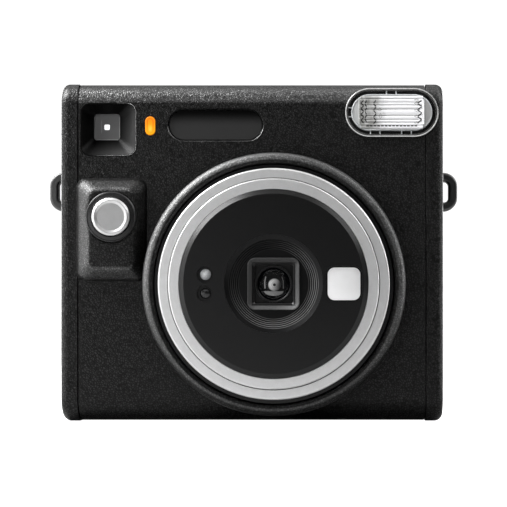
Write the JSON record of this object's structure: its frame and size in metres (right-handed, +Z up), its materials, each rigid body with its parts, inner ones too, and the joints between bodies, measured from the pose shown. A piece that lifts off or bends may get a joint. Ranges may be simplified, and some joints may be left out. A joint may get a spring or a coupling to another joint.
{
  "type": "instant camera",
  "caption": "Boxy instant film camera with a twist-out lens in a silver ring, raised shutter grip, finder, flash window, strap lugs and a rear film door.",
  "frame": {"origin": "centre of the underside, half way along the width and half way through the casing's depth", "axes": "+Z up, lens looks along -Y, +X to the right seen from the front"},
  "size_m": [0.1464, 0.0609, 0.1194],
  "materials": {
    "grained_black": "fine leather grain",
    "satin_black": "fine matte",
    "gloss_black": "polished",
    "silver_paint": "fine metallic silver",
    "clear_plastic": "clear",
    "optical_glass": "coated",
    "amber_plastic": "translucent",
    "mirror": "polished",
    "reflector": "polished",
    "steel": "bright",
    "nylon": "natural",
    "board": "solder mask",
    "cell_can": "wrapped",
    "smoked_window": "smoked"
  },
  "bodies": {
    "casing": {"front_cover": "grained_black", "rear_cover": "grained_black", "left_side_cover": "grained_black", "right_side_cover": "grained_black", "strap_lugs": "satin_black", "case_screws": "steel", "finder_bezel": "gloss_black", "finder_front_lens": "optical_glass", "finder_tube": "satin_black", "finder_eyepiece_lens": "optical_glass", "eyepiece_frame": "satin_black", "indicator_lamp": "amber_plastic", "name_plate": "gloss_black", "flash_lens": "clear_plastic", "flash_housing": "satin_black", "flash_reflector": "reflector", "flash_tube": "clear_plastic", "flash_capacitor": "cell_can", "grip_housing": "grained_black", "button_bezel": "gloss_black", "button_spring": "steel", "lens_collar": "grained_black", "barrel_guide": "satin_black", "film_chamber": "satin_black", "roller_frame": "satin_black", "gear_plate": "steel", "drive_motor": "steel", "counter_window": "smoked_window", "battery_holder": "satin_black", "batteries": "cell_can", "circuit_board": "board"},
    "barrel": {"lens_barrel": "satin_black", "trim_ring": "silver_paint", "barrel_face": "satin_black", "baffle_ring": "gloss_black", "lens_hood": "satin_black", "lens_cell": "satin_black", "front_lens": "optical_glass", "rear_lens": "optical_glass", "shutter_housing": "satin_black", "shutter_cover": "satin_black", "exposure_sensor_lens": "clear_plastic", "exposure_sensor": "gloss_black", "selfie_mirror": "mirror"},
    "mode_ring": {"mode_ring": "silver_paint"},
    "left_blade": {"left_shutter_blade": "steel"},
    "right_blade": {"right_shutter_blade": "steel"},
    "button": {"shutter_button": "silver_paint"},
    "film_door": {"film_door": "grained_black", "film_door_window": "smoked_window", "pack_springs": "steel"},
    "door_latch": {"door_latch": "satin_black"},
    "battery_door": {"battery_door": "grained_black", "battery_springs": "steel"},
    "front_roller": {"front_roller": "steel"},
    "rear_roller": {"rear_roller": "steel"},
    "idler": {"idler_gear": "nylon"},
    "reduction": {"reduction_gear": "nylon"},
    "pinion": {"motor_pinion": "nylon"},
    "counter": {"counter_dial": "nylon"}
  },
  "joints": [
    {"name": "barrel_slide", "type": "slide", "parent": "casing", "child": "barrel", "axis": [0, -1, 0], "range_m": [0, 0.018]},
    {"name": "ring_twist", "type": "hinge", "parent": "barrel", "child": "mode_ring", "pos_m": [0.00805, 0, 0.0481], "axis": [0, -1, 0], "range_deg": [0, 75]},
    {"name": "left_blade_swing", "type": "hinge", "parent": "barrel", "child": "left_blade", "pos_m": [-0.00095, 0, 0.0481], "axis": [0, -1, 0], "range_deg": [0, 30]},
    {"name": "right_blade_swing", "type": "hinge", "parent": "barrel", "child": "right_blade", "pos_m": [0.01705, 0, 0.0481], "axis": [0, -1, 0], "range_deg": [0, 30]},
    {"name": "button_press", "type": "slide", "parent": "casing", "child": "button", "axis": [0, 1, 0], "range_m": [0, 0.0012], "stiffness_N_per_m": 600, "springref_m": -0.0005, "deforming": ["button_spring"]},
    {"name": "film_door_hinge", "type": "hinge", "parent": "casing", "child": "film_door", "pos_m": [0.057, 0.0196, 0.056], "axis": [0, 0, -1], "range_deg": [0, 100]},
    {"name": "door_latch_slide", "type": "slide", "parent": "casing", "child": "door_latch", "axis": [0, 0, -1], "range_m": [0, 0.003]},
    {"name": "battery_door_hinge", "type": "hinge", "parent": "casing", "child": "battery_door", "pos_m": [-0.0655, 0, 0.0095], "axis": [0, -1, 0], "range_deg": [0, 90]},
    {"name": "front_roller_spin", "type": "hinge", "parent": "casing", "child": "front_roller", "pos_m": [0, 0, 0.107], "axis": [1, 0, 0], "continuous": true},
    {"name": "rear_roller_spin", "type": "hinge", "parent": "casing", "child": "rear_roller", "pos_m": [0, 0.0072, 0.107], "axis": [1, 0, 0], "continuous": true},
    {"name": "idler_spin", "type": "hinge", "parent": "casing", "child": "idler", "pos_m": [0, -0.005, 0.09544], "axis": [1, 0, 0], "continuous": true},
    {"name": "reduction_spin", "type": "hinge", "parent": "casing", "child": "reduction", "pos_m": [0, -0.001, 0.08349], "axis": [1, 0, 0], "continuous": true},
    {"name": "pinion_spin", "type": "hinge", "parent": "casing", "child": "pinion", "pos_m": [0, 0.0019, 0.06999], "axis": [1, 0, 0], "continuous": true},
    {"name": "counter_turn", "type": "hinge", "parent": "casing", "child": "counter", "pos_m": [-0.0485, 0, 0.062], "axis": [0, -1, 0], "range_deg": [0, 330]}
  ],
  "couplings": [
    {"joint": "ring_twist", "follows": "barrel_slide", "rad_per_m": 72.722},
    {"joint": "right_blade_swing", "follows": "left_blade_swing", "ratio": 1},
    {"joint": "rear_roller_spin", "follows": "front_roller_spin", "ratio": -1},
    {"joint": "idler_spin", "follows": "front_roller_spin", "ratio": -0.4},
    {"joint": "reduction_spin", "follows": "front_roller_spin", "ratio": 1},
    {"joint": "pinion_spin", "follows": "front_roller_spin", "ratio": -3.6}
  ]
}
